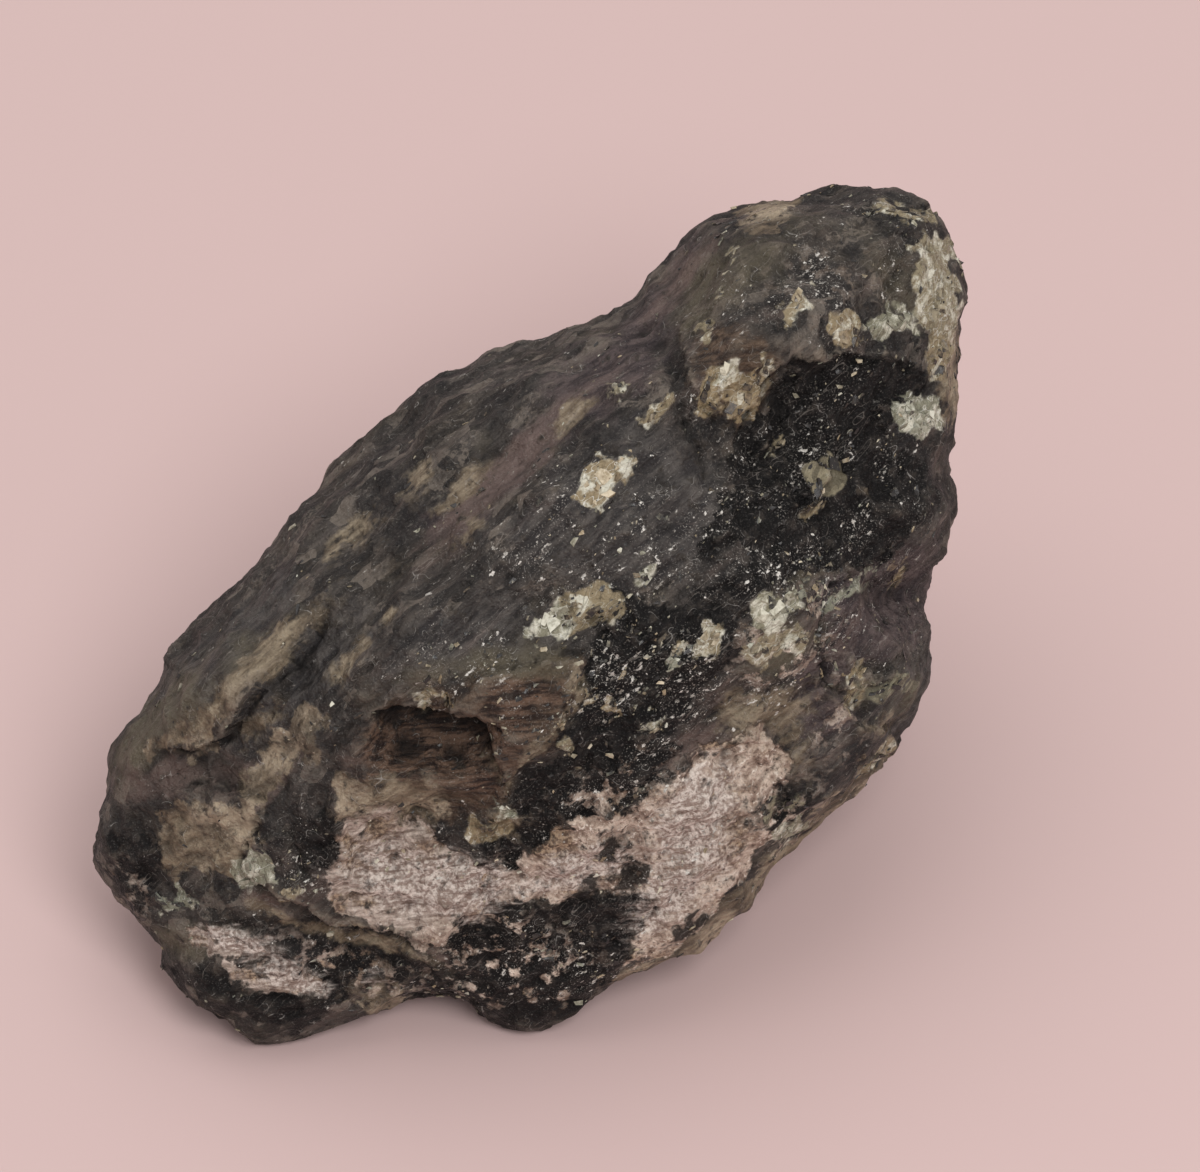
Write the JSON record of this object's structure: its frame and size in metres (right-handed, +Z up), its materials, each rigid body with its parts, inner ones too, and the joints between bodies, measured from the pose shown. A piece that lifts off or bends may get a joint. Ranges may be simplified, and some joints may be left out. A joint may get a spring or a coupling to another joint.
{
  "type": "rough labradorite chunk",
  "caption": "Hand-sized unpolished labradorite stone, a blunt arrowhead-shaped wedge of dark feldspar with pale crystals and cream seams, resting on a flat break.",
  "frame": {"origin": "middle of the stone's box, at the level of the flat break that it rests on", "axes": "+Z up from the resting break, +X along the width of the show face, -Y the side that the show face leans towards"},
  "size_m": [0.0746, 0.0598, 0.0556],
  "materials": {
    "labradorite": "broken natural surface: charcoal feldspar with a waxy sheen, cream and tan granular seams, small glassy cleavage flakes"
  },
  "bodies": {
    "root": {"labradorite_chunk": "labradorite"}
  },
  "joints": []
}
